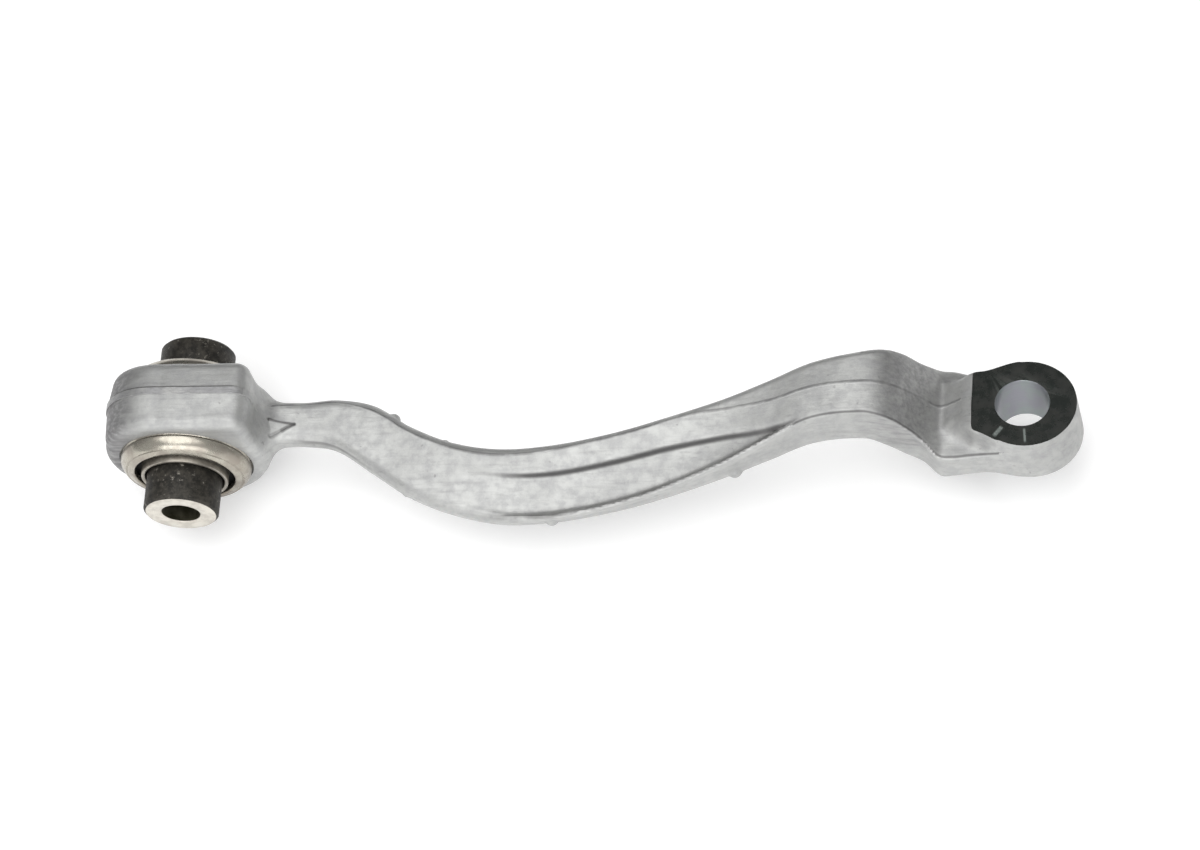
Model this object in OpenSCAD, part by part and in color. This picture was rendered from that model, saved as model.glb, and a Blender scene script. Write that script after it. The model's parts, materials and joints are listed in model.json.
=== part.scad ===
// Forged suspension link: a solid aluminium arm with a bonded rubber bush pressed into its
// barrel-shaped eye at one end, and a plain bolt eye with milled faces at the other.
// Frame: origin at the middle of the bush's bolt bore, +Y along that bore, +X towards the
// plain eye and +Z up. Millimetres.

/* [Link] */
// Distance from the bush's bolt axis to the plain eye's centre
link_length = 306; // [290:1:320]

/* [Bush housing] */
// Outside diameter of the barrel that holds the bush
barrel_d = 61; // [59:0.5:63]
// Length of the barrel along the bush axis
barrel_len = 27.2; // [24:0.2:30]
// How far the barrel's middle is set from the bush's middle, towards +Y
barrel_shift = 1.4; // [0:0.1:2]
// Radius on the barrel's two rims
barrel_round = 3.5; // [2:0.5:4.5]
// Diameter of the bore that the bush is pressed into
housing_bore_d = 48.3; // [47:0.1:49]
// Height of the forging's parting line above the bush's middle
parting_y = 2.2; // [1:0.1:4]
// How far the parting line's flash stands out of the barrel
flash_height = 0.4; // [0.2:0.1:0.6]
// Width of that flash
flash_width = 2.7; // [1:0.1:4]

/* [Bush] */
// Length of the outer sleeve, with both rolled lips
outer_sleeve_len = 38.8; // [36:0.2:42]
// How far the outer sleeve's middle is set from the bush's middle, towards +Y
outer_sleeve_shift = 1.2; // [0:0.1:2]
// Wall of the outer sleeve
outer_sleeve_wall = 2.4; // [2:0.1:3]
// Diameter of the opening inside each rolled lip
lip_opening_d = 36.7; // [35:0.1:38]
// Outside diameter of the middle sleeve
middle_sleeve_d = 32; // [31:0.1:33]
// Wall of the middle sleeve
middle_sleeve_wall = 1.4; // [1:0.1:1.6]
// Length of the middle sleeve
middle_sleeve_len = 38.8; // [37:0.2:42]
// Outside diameter of the inner sleeve's ends
inner_sleeve_d = 27.6; // [27:0.1:28]
// Outside diameter of the inner sleeve's waist, under the rubber
inner_waist_d = 22.6; // [21:0.1:24]
// Length of the inner sleeve
inner_sleeve_len = 66; // [60:1:72]
// Bore for the mounting bolt
bolt_bore_d = 14.2; // [12.2:0.1:14.6]

/* [Plain eye] */
// Bore of the plain eye
eye_bore_d = 19.2; // [16:0.1:20]
// Thickness between the eye's two milled faces
eye_thick = 21; // [20:0.5:23]
// Outside radius of the eye
eye_r = 18.6; // [17:0.1:19]
// How far the eye's outside is set beyond its bore, away from the bush
eye_offset = 2.3; // [0:0.1:3]
// Lean of the eye's bore from +Z towards +Y, in degrees
eye_tilt = 8.5; // [0:0.5:12]
// How far the upper milled face reaches towards the bush
pad_reach = 19.5; // [18:0.5:24]
// How far the forged ramp below that face's straight edge reaches further
pad_ramp = 6; // [4:0.5:8]
// Radius of the cutter that mills the lower face
spot_face_r = 21; // [20:0.5:24]

/* [Hidden] */

$fn = 96;
eps = 0.01;
alloy = [0.74, 0.75, 0.75];
bright_steel = [0.80, 0.78, 0.73];
dull_steel = [0.62, 0.59, 0.53];
coated_steel = [0.20, 0.18, 0.16];
black_rubber = [0.06, 0.06, 0.06];

// Stations of the arm's body, each a rounded section in a plane across X, held as
// [x, centre y, centre z, height, depth, roll, corner radius, web recess, recess top, recess bottom].
// Height lies along Y and depth along Z before the roll, which turns the upper face towards -Y.
// The slender neck leaves the barrel, the middle sags to -Y and is recessed on both
// sides, and the body then rises over a crest and drops to the eye's plate.
STATIONS = [
    [26.5, 1.8, 0, 17, 21, 0, 4, 0, 2, -4],
    [31, 1.9, 0, 16.5, 14.6, 0, 4.5, 0, 2, -4],
    [36, 2.1, 0, 16, 12.2, 0, 4.5, 0, 2, -4],
    [44, 2.1, 0, 16.3, 11, 0, 4.5, 0, 2, -4],
    [56, 1.4, 0, 19, 11.5, 2, 4.5, 0, 2, -5],
    [70, -4.5, -0.5, 25, 13, 5, 4.5, 0, 3, -7],
    [84, -13.3, -1, 25.5, 14, 9, 4.2, 0, 4, -8.5],
    [100, -19.8, -1.5, 25.5, 15, 14, 3.6, 0.3, 4.3, -9.5],
    [118, -23, -2, 26.5, 15.5, 18, 3, 1.8, 4.3, -10.4],
    [138, -21.8, -1.5, 27, 16, 20, 2.8, 3.6, 4.3, -10.4],
    [160, -17.9, 0, 27, 16.5, 18, 2.8, 4.2, 4, -10.4],
    [180, -12.6, 2, 26.5, 17, 14, 2.8, 4.2, 2.5, -10],
    [200, -7.3, 6, 25, 18, 8, 2.8, 3.8, -1.5, -9.4],
    [216, -2.2, 10, 24, 19.5, 3, 3, 2, -6, -9],
    [232, 2, 14.3, 23.3, 21.5, 0, 3, 0, -7.6, -8.4],
    [250, 3.4, 15.8, 25.2, 23, 0, 3, 0, -7.6, -8.4],
    [258, 3.6, 12.2, 27.6, 25.5, 0, 3, 0, -7.6, -8.4],
    [264, 3.7, 5.5, 29.2, 25.5, 0, 3, 0, -7.6, -8.4],
    [270, 3.4, -0.5, 30.8, 21, 0, 3, 0, -7.6, -8.4],
    [276, 0.8, -3.8, 37.6, 16, -4, 3, 0, -7.6, -8.4],
    [281, 0.4, -4, 39, 14, -6.5, 3, 0, -7.6, -8.4],
    [286, 0.2, -4, 37.6, 13.2, -8, 3, 0, -7.6, -8.4],
    [298, 0.2, -4, 33, 13, -8.5, 3, 0, -7.6, -8.4],
    [306, 0, -4, 29, 13, -8.5, 3, 0, -7.6, -8.4]];
stations = len(STATIONS);
// Nubs where the flash was trimmed off the forging: [x, side along the height, radius, offset
// along the depth]
NUBS = [[72, 1, 1.9, 0], [92, 1, 1.7, 0], [79, -1, 1.4, 0], [132, -1, 1.9, 0], [198, -1, 2.4, -6]];
// Distance between two rings of the body
ring_step = 4;
corner_steps = 4;

barrel_r = barrel_d / 2;
shoulder_x = -7.5;
shoulder_z = 9.5;
flat_end = 28.6;
flat_corner = 6.5;
sleeve_r = housing_bore_d / 2;
sleeve_half = outer_sleeve_len / 2;
lip_start = barrel_len / 2 + 0.4;
middle_half = middle_sleeve_len / 2;
waist_half = 15;
waist_taper = 3.5;
rubber_gap = 0.05;
spot_depth = 8;

// A round piece turned about the bush axis, from an outline of [radius, y] points
module turned() {
    rotate([-90, 0, 0])
        rotate_extrude()
            mirror([0, 1])
                children();
}

function slope(i, c) =
    let (a = max(i - 1, 0), b = min(i + 1, stations - 1))
    (STATIONS[b][c] - STATIONS[a][c]) / (STATIONS[b][0] - STATIONS[a][0]);

function span_of(x, i = 0) =
    i >= stations - 2 || x < STATIONS[i + 1][0] ? i : span_of(x, i + 1);

// One column of the station table at x, along a smooth cubic through the stations
function at(x, c) =
    let (
        i = span_of(x),
        run = STATIONS[i + 1][0] - STATIONS[i][0],
        t = (x - STATIONS[i][0]) / run,
        rise = t * t * (3 - 2 * t))
    STATIONS[i][c] * (1 - rise) + STATIONS[i + 1][c] * rise
        + run * t * (1 - t) * (slope(i, c) * (1 - t) - slope(i + 1, c) * t);

function arc(cv, cw, r, from) =
    [for (k = [0 : corner_steps])
        let (a = from + 90 * k / corner_steps)
        [cv + r * cos(a), cw + r * sin(a)]];

// The section's outline in its own height and depth directions
function outline(h, d, r, recess, top, bottom) =
    let (
        v = h / 2 - r,
        w = d / 2 - r,
        wall = 0.4 + recess * 0.6,
        floor_w = d / 2 - recess,
        high = min(top, v - 0.4),
        low = max(bottom, 0.4 - v))
    concat(
        arc(v, w, r, 0),
        [[high, d / 2], [high - wall, floor_w], [low + wall, floor_w], [low, d / 2]],
        arc(-v, w, r, 90),
        arc(-v, -w, r, 180),
        [[low, -d / 2], [low + wall, -floor_w], [high - wall, -floor_w], [high, -d / 2]],
        arc(v, -w, r, 270));

function ring(x) =
    let (roll = at(x, 5))
    [for (p = outline(at(x, 3), at(x, 4), at(x, 6), max(at(x, 7), 0), at(x, 8), at(x, 9)))
        [x,
         at(x, 1) + p[0] * cos(roll) - p[1] * sin(roll),
         at(x, 2) + p[0] * sin(roll) + p[1] * cos(roll)]];

// The arm's body from the barrel to the eye, swept through the stations
module body_sweep() {
    x_first = STATIONS[0][0];
    x_last = link_length;
    rings = ceil((x_last - x_first) / ring_step);
    sides = len(outline(20, 20, 3, 0, 2, -2));
    points = [
        for (k = [0 : rings])
            for (p = ring(x_first + (x_last - x_first) * k / rings)) p];
    skin = [
        for (k = [0 : rings - 1])
            for (j = [0 : sides - 1])
                let (
                    a = k * sides + j,
                    b = k * sides + (j + 1) % sides)
                each [[a, b + sides, b], [a, a + sides, b + sides]]];
    near_end = [for (j = [0 : sides - 1]) j];
    far_end = [for (j = [0 : sides - 1]) rings * sides + sides - 1 - j];
    polyhedron(points, concat(skin, [near_end, far_end]));
}

// Low round nubs on the body's upper and lower edges
module nubs() {
    for (nub = NUBS) {
        x = nub[0];
        reach = nub[1] * (at(x, 3) / 2 - 0.6);
        translate([x, at(x, 1), at(x, 2)])
            rotate([at(x, 5), 0, 0])
                translate([0, reach, nub[3]])
                    sphere(r = nub[2], $fn = 32);
    }
}

// The barrel's outline seen along the bush axis: a circle, squared off on its +Z side by a
// broad shoulder towards -X and a flat that ends in a corner
module barrel_outline() {
    hull() {
        circle(r = barrel_r);
        translate([shoulder_x, shoulder_z])
            circle(r = barrel_r - shoulder_z);
        translate([flat_end - flat_corner, barrel_r - flat_corner])
            circle(r = flat_corner);
    }
}

// A slice of the barrel, this long along the bush axis and this far inside its outline
module barrel_slice(length, inset) {
    rotate([90, 0, 0])
        linear_extrude(length, center = true)
            offset(delta = -inset)
                barrel_outline();
}

// The barrel round the bush, with rounded rims and the flash line round its middle
module barrel() {
    translate([0, barrel_shift, 0])
        hull()
            for (turn = [0 : 30 : 90])
                barrel_slice(
                    barrel_len - 2 * barrel_round * (1 - sin(turn)),
                    barrel_round * (1 - cos(turn)));
    translate([0, parting_y, 0])
        barrel_slice(flash_width, -flash_height);
}

// Places its children in the plain eye's frame: bore along their Z, centre at the origin
module at_eye() {
    translate([link_length, 0, 0])
        rotate([-eye_tilt, 0, 0])
            children();
}

// The eye's round boss, its lower rim rounded, and the pad that carries the upper milled
// face towards the bush
module eye_boss() {
    rim = 3.5;
    half = eye_thick / 2;
    translate([eye_offset, -0.4, 0])
        rotate_extrude() {
            translate([0, -half + rim])
                square([eye_r, eye_thick - rim]);
            translate([0, -half])
                square([eye_r - rim, eye_thick]);
            translate([eye_r - rim, -half + rim])
                circle(r = rim);
        }
    translate([0, 0, -half / 2])
        linear_extrude(half * 1.5)
            polygon([
                [-pad_reach, -9.3], [-pad_reach, 13.5], [-14, 14.2], [-2, 16.8],
                [0, 0], [-9, -15], [-17, -11.5]]);
    translate([-pad_reach, 13.5, 0])
        rotate([90, 0, 0])
            linear_extrude(19)
                polygon([[-pad_ramp, 0], [0, 0], [0, half], [-pad_ramp, half - 5.5]]);
}

module arm() color(alloy) {
    difference() {
        union() {
            body_sweep();
            nubs();
            barrel();
            at_eye() eye_boss();
        }
        rotate([90, 0, 0])
            cylinder(h = barrel_len + 6, d = housing_bore_d, center = true);
        at_eye() {
            cylinder(h = eye_thick + 20, d = eye_bore_d, center = true);
            translate([0, 0, -eye_thick / 2 - spot_depth])
                cylinder(h = spot_depth, r = spot_face_r);
        }
    }
}

// Steel outer sleeve, pressed into the barrel, with both ends rolled inwards to a lip
module outer_sleeve() color(bright_steel) {
    roll_r = sleeve_half - lip_start;
    translate([0, outer_sleeve_shift, 0])
        turned()
            difference() {
                union() {
                    translate([0, -lip_start])
                        square([sleeve_r, 2 * lip_start]);
                    for (side = [-1, 1])
                        translate([sleeve_r - roll_r, side * lip_start])
                            circle(r = roll_r);
                    translate([0, -sleeve_half])
                        square([sleeve_r - roll_r, outer_sleeve_len]);
                }
                translate([-eps, -sleeve_half - 1])
                    square([lip_opening_d / 2 + eps, outer_sleeve_len + 2]);
                translate([-eps, -lip_start - 1.8])
                    square([sleeve_r - outer_sleeve_wall + eps, 2 * (lip_start + 1.8)]);
            }
}

// Rubber between the outer and the middle sleeve, hollowed at both ends
module outer_rubber() color(black_rubber) {
    inner_r = middle_sleeve_d / 2 + rubber_gap;
    outer_r = sleeve_r - outer_sleeve_wall - rubber_gap;
    turned()
        polygon([
            [inner_r, -14.6], [inner_r + 1.4, -13.2], [outer_r - 1.6, -13.2], [outer_r, -14.2],
            [outer_r, 14.2], [outer_r - 1.6, 13.2], [inner_r + 1.4, 13.2], [inner_r, 14.6]]);
}

// Thin steel sleeve that parts the rubber into two layers
module middle_sleeve() color(dull_steel) {
    outer_r = middle_sleeve_d / 2;
    turned()
        translate([outer_r - middle_sleeve_wall, -middle_half])
            square([middle_sleeve_wall, middle_sleeve_len]);
}

// Rubber between the middle sleeve and the inner sleeve's waist
module inner_rubber() color(black_rubber) {
    inner_r = inner_waist_d / 2 + rubber_gap;
    outer_r = middle_sleeve_d / 2 - middle_sleeve_wall - rubber_gap;
    turned()
        polygon([
            [inner_r, -waist_half + 0.6], [outer_r, -waist_half + 1.4],
            [outer_r, waist_half - 1.4], [inner_r, waist_half - 0.6]]);
}

// Inner sleeve that the bolt clamps, waisted under the rubber, its end faces machined
module inner_sleeve() color(coated_steel) {
    chamfer = 1;
    end_r = inner_sleeve_d / 2;
    waist_r = inner_waist_d / 2;
    half = inner_sleeve_len / 2;
    difference() {
        turned()
            polygon([
                [0, -half], [end_r - chamfer, -half], [end_r, -half + chamfer],
                [end_r, -waist_half - waist_taper], [waist_r, -waist_half],
                [waist_r, waist_half], [end_r, waist_half + waist_taper],
                [end_r, half - chamfer], [end_r - chamfer, half], [0, half]]);
        rotate([90, 0, 0])
            cylinder(h = inner_sleeve_len + 2, d = bolt_bore_d, center = true);
    }
}

arm();
outer_sleeve();
outer_rubber();
middle_sleeve();
inner_rubber();
inner_sleeve();
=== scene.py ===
"""Looks of a forged suspension link with a bonded rubber bush: the detailed forging, the bush's
lathed sleeves and rubber, their materials, and a pale studio.

Shapes are worked out in millimetres and made into meshes in metres. All is in the part's
frame: the bush's bolt axis is Y, the plain eye lies along +X.
"""

import json
import math

import bmesh
import bpy
import numpy as np
from mathutils import Matrix, Vector


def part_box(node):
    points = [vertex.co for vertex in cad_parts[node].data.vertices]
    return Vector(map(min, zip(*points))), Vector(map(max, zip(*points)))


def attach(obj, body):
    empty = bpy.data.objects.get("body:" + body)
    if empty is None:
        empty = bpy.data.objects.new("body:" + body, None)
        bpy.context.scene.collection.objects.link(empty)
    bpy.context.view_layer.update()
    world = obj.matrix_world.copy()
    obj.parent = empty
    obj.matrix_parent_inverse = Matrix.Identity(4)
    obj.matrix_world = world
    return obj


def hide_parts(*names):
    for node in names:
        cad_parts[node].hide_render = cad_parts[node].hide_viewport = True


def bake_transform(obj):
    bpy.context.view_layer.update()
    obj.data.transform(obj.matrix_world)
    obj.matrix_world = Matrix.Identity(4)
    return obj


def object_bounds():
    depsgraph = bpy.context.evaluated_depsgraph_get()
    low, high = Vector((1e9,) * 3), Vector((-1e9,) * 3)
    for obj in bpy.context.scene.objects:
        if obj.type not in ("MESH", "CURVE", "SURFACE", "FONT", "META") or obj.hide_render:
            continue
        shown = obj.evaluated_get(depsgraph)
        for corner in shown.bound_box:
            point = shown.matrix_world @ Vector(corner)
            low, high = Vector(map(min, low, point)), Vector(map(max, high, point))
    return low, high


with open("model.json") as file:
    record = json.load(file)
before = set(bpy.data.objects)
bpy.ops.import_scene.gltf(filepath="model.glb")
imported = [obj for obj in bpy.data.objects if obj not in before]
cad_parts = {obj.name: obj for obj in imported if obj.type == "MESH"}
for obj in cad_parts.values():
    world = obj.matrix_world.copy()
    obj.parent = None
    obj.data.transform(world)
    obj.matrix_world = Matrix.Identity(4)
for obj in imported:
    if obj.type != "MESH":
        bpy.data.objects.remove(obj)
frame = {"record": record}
cad_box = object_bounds()

MM = 0.001
MOUNTS = {mount["name"]: mount for mount in frame["record"]["mounts"]}

# ------------ driving sizes, millimetres
LINK_LENGTH = MOUNTS["eye_bore"]["pos_m"][0] / MM
BARREL_R = 30.5
BARREL_FRONT, BARREL_REAR = -12.2, 15.0
BARREL_ROUND = 3.6
# The barrel's squared side: a broad shoulder towards -X, and a flat that ends in a corner
SHOULDER_X, SHOULDER_Z = -7.5, 9.5
FLAT_Z = 30.3
BLOCK_START, FLAT_END, FLAT_CORNER = 14.0, 28.6, 6.5
HOUSING_BORE_R, HOUSING_CHAMFER = 24.15, 0.5
PARTING_Y = 2.2
FLASH_HEIGHT = 0.3
FLASH_HALF_WIDTH = 1.35

EYE_BORE_R = MOUNTS["eye_bore"]["dims"]["r_mm"]
EYE_HALF = MOUNTS["eye_bore"]["dims"]["length_mm"] / 2
EYE_CHAMFER = 0.2
EYE_R = 18.0
EYE_OFFSET = (1.3, -0.2)
# How much further out the boss is set and how much wider it is at its lower face
EYE_LEAN, EYE_FLARE = 1.2, 0.5
EYE_TILT = math.radians(8.5)
EYE_TOP_RIM, EYE_LOW_RIM = 1.0, 3.8
MILL_ALLOWANCE = 0.9
SPOT_FACE_R = 21.0
# The flat beside the boss: how far it is milled towards the bush, its outline as x, y in the
# eye's frame, and the slope it ends in
PAD_REACH = 17.4
PAD_OUTLINE = [
    (-27, -5), (-27, 12.8), (-14, 14.2), (-2, 16.8), (0, 0), (-9, -15), (-17, -11.5), (-20, -9.3)]
PAD_RAMP = math.radians(38)

DRAFT = math.tan(math.radians(3.0))
REAR_DRAFT = 2.2 * DRAFT
BODY_START, BODY_END = 14.0, 305.0
# The arm's lower edge turns crisp over this stretch
CRISP_START, CRISP_RUN, LOW_CORNER = 115.0, 25.0, 1.3
# Widths over which the forging's parts run into each other
BARREL_BLEND, EYE_BLEND, END_BLEND, NUB_BLEND = 7.0, 5.0, 4.0, 0.9
GRID = 0.8

# Sections of the arm: x, centre y, centre z, height, depth, roll in degrees, corner radius,
# recess depth, recess top and recess bottom. Unrolled, height is along Y and depth along Z.
STATIONS = np.array([
    [26.5, 1.8, 0, 17, 21, 0, 4, 0, 2, -4],
    [31, 1.9, 0, 16.5, 14.6, 0, 4.5, 0, 2, -4],
    [36, 2.1, 0, 16, 12.2, 0, 4.5, 0, 2, -4],
    [44, 2.1, 0, 16.3, 11, 0, 4.5, 0, 2, -4],
    [56, 1.4, 0, 19, 11.5, 2, 4.5, 0, 2, -5],
    [70, -4.5, -0.5, 25, 13, 5, 4.5, 0, 3, -7],
    [84, -13.3, -1, 25.5, 14, 9, 4.2, 0, 4, -8.5],
    [100, -19.8, -1.5, 25.5, 15, 14, 3.6, 0.3, 4.3, -9.5],
    [118, -23, -2, 26.5, 15.5, 18, 3, 1.8, 4.3, -10.6],
    [138, -22.1, -1.5, 27, 16, 20, 2.8, 3.6, 4.3, -11.4],
    [160, -18.5, 0, 27, 16.5, 18, 2.8, 4.2, 4.2, -11.8],
    [180, -13.5, 2, 26.5, 17, 14, 2.8, 4.2, 3, -11.8],
    [200, -8.4, 6, 25, 18, 8, 2.8, 3.8, -0.9, -11.4],
    [216, -3.5, 10, 24, 19.5, 3, 3, 2.6, -6.6, -11],
    [232, 1.3, 14.3, 23.3, 21.5, 0, 3, 0, -10.6, -10.8],
    [250, 3.4, 15.8, 25.2, 23, 0, 3, 0, -7.6, -8.4],
    [258, 3.6, 12.9, 27.6, 25.5, 0, 3, 0, -7.6, -8.4],
    [264, 3.7, 7.3, 29.2, 25.5, 0, 3, 0, -7.6, -8.4],
    [270, 3.4, 0.4, 30.8, 21, 0, 3, 0, -7.6, -8.4],
    [276, 1.3, -3.8, 36.6, 16, -4, 3, 0, -7.6, -8.4],
    [281, 1.0, -4, 37.8, 14, -6.5, 3, 0, -7.6, -8.4],
    [286, 0.7, -4, 36.6, 13.2, -8, 3, 0, -7.6, -8.4],
    [298, 0.2, -4, 33, 13, -8.5, 3, 0, -7.6, -8.4],
    [306, 0, -4, 29, 13, -8.5, 3, 0, -7.6, -8.4]])

# Where the dies met, as a height from the section's centre, at points along the arm
PARTING = np.array([
    [26.5, 1.5], [31, 4], [36, 5.6], [44, 6], [56, 7.4], [70, 9.4], [84, 10], [105, 10.4],
    [130, 11.2], [150, 11.8], [180, 11.4], [190, 10.4], [200, 7.8], [210, 4.8], [220, 2.2],
    [230, 0.8], [240, 0], [250, -0.6], [260, -0.8], [280, 2], [306, 2]])

# The trimmed web beside the barrel, as x, y: its point on the neck, and its wide end
WEB_CORNERS = [(40.6, 0.0), (31.8, 0.8), (32.2, -5.2)]

# Nubs where the flash was trimmed: x, side along the height, radius, offset along the depth
NUBS = [
    (76.6, 1, 2.6, 0), (96.6, 1, 1.9, 0), (83, -1, 1.5, 0), (136.6, -1, 2.6, 0),
    (203, -1, 2.7, -6)]
NUB_SINK = 1.0


# ------------ distance field of the forging
def smooth_table(table, x):
    """The table's columns at x, along a smooth cubic through its rows."""
    xs = table[:, 0]
    slopes = np.empty_like(table)
    slopes[1:-1] = (table[2:] - table[:-2]) / (xs[2:] - xs[:-2])[:, None]
    slopes[0] = (table[1] - table[0]) / (xs[1] - xs[0])
    slopes[-1] = (table[-1] - table[-2]) / (xs[-1] - xs[-2])
    x = np.clip(x, xs[0], xs[-1])
    i = np.clip(np.searchsorted(xs, x, side="right") - 1, 0, len(xs) - 2)
    run = xs[i + 1] - xs[i]
    t = (x - xs[i]) / run
    rise = t * t * (3 - 2 * t)
    return [
        table[i, c] * (1 - rise) + table[i + 1, c] * rise
        + run * t * (1 - t) * (slopes[i, c] * (1 - t) - slopes[i + 1, c] * t)
        for c in range(1, table.shape[1])]


def smooth_min(a, b, k):
    """The lesser of two distances, blended where they differ by less than k."""
    h = np.maximum(k - np.abs(a - b), 0) / k
    return np.minimum(a, b) - h * h * k / 4


def smooth_max(a, b, k):
    return -smooth_min(-a, -b, k)


def rounded(q0, q1, r):
    """Distance to a corner-rounded box whose flat sides are at q0 = r and q1 = r."""
    outside = np.hypot(np.maximum(q0, 0), np.maximum(q1, 0))
    return outside + np.minimum(np.maximum(q0, q1), 0) - r


def section_point(x, y, z):
    """A point's place in the arm's section at x: its height v and its depth w."""
    cy, cz, _, _, roll = smooth_table(STATIONS, x)[:5]
    roll = np.radians(roll)
    dy, dz = y - cy, z - cz
    return dy * np.cos(roll) + dz * np.sin(roll), dz * np.cos(roll) - dy * np.sin(roll)


def arm_section(x, y, z):
    """Distance to the arm's section, measured in the plane across X."""
    height, depth, _, corner, recess, top, bottom = smooth_table(STATIONS, x)[2:]
    parting = smooth_table(PARTING, x)[0]
    v, w = section_point(x, y, z)
    w = np.abs(w)
    depth_at = 4
    lean = DRAFT * (np.abs(v - parting) - depth_at)
    crisp = np.clip((x - CRISP_START) / CRISP_RUN, 0, 1)
    low_corner = corner * (1 - crisp) + LOW_CORNER * crisp
    round_r = np.where(v < 0, low_corner, corner)
    shell = rounded(np.abs(v) - height / 2 + round_r, w + lean - depth / 2 + round_r, round_r)
    upper_rim, lower_rim = 0.4, 0.3
    high = np.minimum(top, height / 2 - corner - upper_rim)
    low = np.maximum(bottom, lower_rim - height / 2 + low_corner)
    upper_slope, upper_scale, lower_slope = 0.6, 0.86, 0.2
    drop = depth / 2 - w
    wall = np.maximum(upper_scale * (v - high + upper_slope * drop), low - v + lower_slope * drop)
    recess = np.maximum(recess, 0)
    shallowest, foot_round, brim_round = 0.8, 1.6, 1.4
    pocket = smooth_max(wall, drop - recess, foot_round)
    pocket = pocket + np.maximum(shallowest - recess, 0) * 2
    return smooth_max(shell, -pocket, brim_round)


def arm_body(x, y, z):
    """Distance to the arm's body, scaled where the arm runs at a slant to X."""
    step = 0.4
    here = arm_section(x, y, z)
    slant = (arm_section(x + step, y, z) - arm_section(x - step, y, z)) / (2 * step)
    ends = np.maximum(BODY_START - x, x - BODY_END)
    return smooth_max(here / np.sqrt(1 + slant * slant), ends, END_BLEND)


def barrel_outline(x, z):
    """Distance to the barrel's outline seen along the bush axis: a circle, squared off above."""
    round_side = np.hypot(x, z) - BARREL_R
    shoulder = np.hypot(x - SHOULDER_X, z - SHOULDER_Z) - (BARREL_R - SHOULDER_Z)
    middle, half = (FLAT_END - BLOCK_START) / 2, (FLAT_END + BLOCK_START) / 2
    block = rounded(
        np.abs(x - middle) - half + FLAT_CORNER,
        np.abs(z - FLAT_Z / 2) - FLAT_Z / 2 + FLAT_CORNER, FLAT_CORNER)
    crease = 0.6
    return smooth_min(np.minimum(round_side, shoulder), block, crease)


def barrel(x, y, z):
    """Distance to the barrel that holds the bush, drafted both ways from the parting line."""
    behind, ahead = np.maximum(y - PARTING_Y, 0), np.maximum(PARTING_Y - y, 0)
    radial = barrel_outline(x, z) + REAR_DRAFT * behind + DRAFT * ahead
    past_end = np.maximum(BARREL_FRONT - y, y - BARREL_REAR)
    return rounded(radial + BARREL_ROUND, past_end + BARREL_ROUND, BARREL_ROUND)


def eye_point(x, y, z):
    """A point in the plain eye's frame, whose third axis is the eye's bore."""
    c, s = math.cos(EYE_TILT), math.sin(EYE_TILT)
    return x - LINK_LENGTH, y * c - z * s, y * s + z * c


def polygon_distance(px, py, outline):
    """Signed distance to a closed polygon, negative inside it."""
    best = None
    inside = np.zeros(np.broadcast(px, py).shape, bool)
    for (ax, ay), (bx, by) in zip(outline, outline[1:] + outline[:1]):
        ex, ey = bx - ax, by - ay
        t = np.clip(((px - ax) * ex + (py - ay) * ey) / (ex * ex + ey * ey), 0, 1)
        d = np.hypot(px - ax - t * ex, py - ay - t * ey)
        best = d if best is None else np.minimum(best, d)
        if ey:
            crosses = ((ay > py) != (by > py)) & (px < ax + (py - ay) * ex / ey)
            inside = inside ^ crosses
    return np.where(inside, -best, best)


def eye(x, y, z):
    """Distance to the eye's boss and the pad beside it, as forged, before they are milled."""
    ex, ey, ez = eye_point(x, y, z)
    top = EYE_HALF + MILL_ALLOWANCE
    lower = np.clip((EYE_HALF - ez) / (2 * EYE_HALF), 0, 1)
    ring = np.hypot(ex - EYE_OFFSET[0] - EYE_LEAN * lower, ey - EYE_OFFSET[1]) - EYE_FLARE * lower
    rim = np.where(ez > 0, EYE_TOP_RIM, EYE_LOW_RIM)
    boss = rounded(ring - EYE_R + rim, np.abs(ez) - top + rim, rim)
    edge, sunk, ramp_gap, soft = 1.6, 3, 1.2, 2.5
    flat = polygon_distance(ex, ey, PAD_OUTLINE)
    pad = rounded(flat + edge, np.abs(ez - top / 2 + sunk) - top / 2 - sunk + edge, edge)
    ramp = (ez - top) * math.cos(PAD_RAMP) - (ex + PAD_REACH + ramp_gap) * math.sin(PAD_RAMP)
    pad = smooth_max(pad, ramp, soft)
    return smooth_min(boss, pad, soft)


def nub(x, y, z, at_x, side, radius, shift):
    """Distance to a nub: a ball partly sunk in the arm's upper or lower edge."""
    section = smooth_table(STATIONS, np.array(float(at_x)))
    cy, cz, height, _, roll = [float(column) for column in section[:5]]
    reach = side * (height / 2 - NUB_SINK)
    roll = math.radians(roll)
    ny = cy + reach * math.cos(roll) - shift * math.sin(roll)
    nz = cz + reach * math.sin(roll) + shift * math.cos(roll)
    return np.sqrt((x - at_x) ** 2 + (y - ny) ** 2 + (z - nz) ** 2) - radius


def forging(x, y, z):
    """Distance to the whole forging before any machining."""
    body = arm_body(x, y, z)
    whole = smooth_min(body, barrel(x, y, z), BARREL_BLEND)
    whole = smooth_min(whole, eye(x, y, z), EYE_BLEND)
    for each in NUBS:
        whole = smooth_min(whole, nub(x, y, z, *each), NUB_BLEND)
    return whole


def gradient(field, p):
    """The field's slope at each point, by central differences."""
    step = 0.05
    out = np.empty_like(p)
    for axis in range(3):
        offset = np.zeros(3)
        offset[axis] = step
        out[:, axis] = (field(*(p + offset).T) - field(*(p - offset).T)) / (2 * step)
    return out


def pairs_along(axis):
    """Slices of a grid: all its points but the last along an axis, and all but the first."""
    first, second = [slice(None)] * 3, [slice(None)] * 3
    first[axis], second[axis] = slice(0, -1), slice(1, None)
    return tuple(first), tuple(second)


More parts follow.
